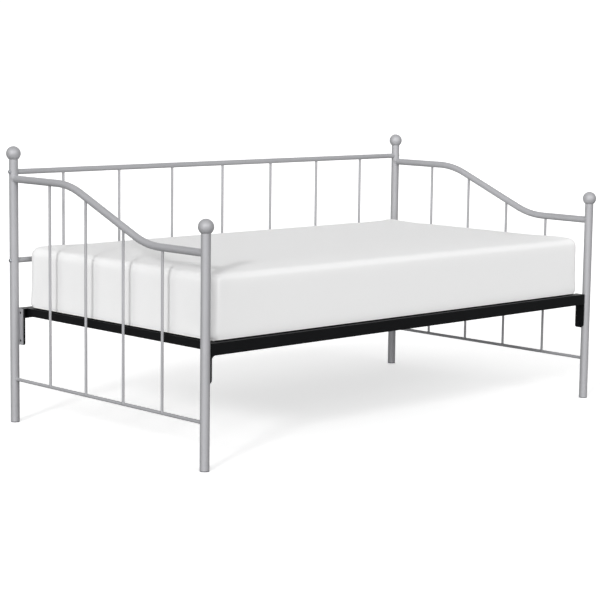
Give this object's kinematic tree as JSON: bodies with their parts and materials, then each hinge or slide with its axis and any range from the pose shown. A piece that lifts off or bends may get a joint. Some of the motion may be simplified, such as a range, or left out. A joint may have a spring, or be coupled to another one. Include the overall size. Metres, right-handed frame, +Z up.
{
  "type": "daybed",
  "caption": "Tubular steel daybed with ball-topped posts, a straight spindle back, sweeping spindle sides, a black slatted deck and a plain loose mattress.",
  "frame": {"origin": "on the floor, under the centre of the daybed's outline", "axes": "+X along the length towards the right-hand side panel as seen from the front, +Y from the open front towards the back panel, +Z up"},
  "size_m": [2.022, 1.097, 0.993],
  "materials": {
    "grey_coat": "satin",
    "black_coat": "satin",
    "black_bolt": "satin",
    "zinc": "satin",
    "grey_plastic": "matte",
    "mattress_cover": "matte"
  },
  "bodies": {
    "frame": {"back_lower_rail": "grey_coat", "back_rail_bolts": "zinc", "back_rail_inserts": "zinc", "back_spindle_1": "grey_coat", "back_spindle_2": "grey_coat", "back_spindle_3": "grey_coat", "back_spindle_4": "grey_coat", "back_spindle_5": "grey_coat", "back_spindle_6": "grey_coat", "back_spindle_7": "grey_coat", "back_top_rail": "grey_coat", "centre_spine": "black_coat", "deck_bolts": "black_bolt", "foot_glides": "grey_plastic", "front_deck_rail": "black_coat", "front_left_deck_bracket": "black_coat", "front_left_finial": "grey_coat", "front_left_flag_plate": "grey_coat", "front_left_post": "grey_coat", "front_right_deck_bracket": "black_coat", "front_right_finial": "grey_coat", "front_right_flag_plate": "grey_coat", "front_right_post": "grey_coat", "left_end_rail": "black_coat", "left_side_lower_rod": "grey_coat", "left_side_spindle_1": "grey_coat", "left_side_spindle_2": "grey_coat", "left_side_spindle_3": "grey_coat", "left_side_spindle_4": "grey_coat", "left_side_top_rail": "grey_coat", "rear_deck_rail": "black_coat", "rear_left_deck_bracket": "black_coat", "rear_left_finial": "grey_coat", "rear_left_flag_plate": "grey_coat", "rear_left_post": "grey_coat", "rear_right_deck_bracket": "black_coat", "rear_right_finial": "grey_coat", "rear_right_flag_plate": "grey_coat", "rear_right_post": "grey_coat", "right_end_rail": "black_coat", "right_side_lower_rod": "grey_coat", "right_side_spindle_1": "grey_coat", "right_side_spindle_2": "grey_coat", "right_side_spindle_3": "grey_coat", "right_side_spindle_4": "grey_coat", "right_side_top_rail": "grey_coat", "slat_1": "black_coat", "slat_10": "black_coat", "slat_11": "black_coat", "slat_12": "black_coat", "slat_2": "black_coat", "slat_3": "black_coat", "slat_4": "black_coat", "slat_5": "black_coat", "slat_6": "black_coat", "slat_7": "black_coat", "slat_8": "black_coat", "slat_9": "black_coat"},
    "mattress_body": {"mattress": "mattress_cover"}
  },
  "joints": [
    {"name": "mattress_lift", "type": "slide", "parent": "frame", "child": "mattress_body", "axis": [0, 0, 1], "range_m": [0, 0.35]}
  ]
}
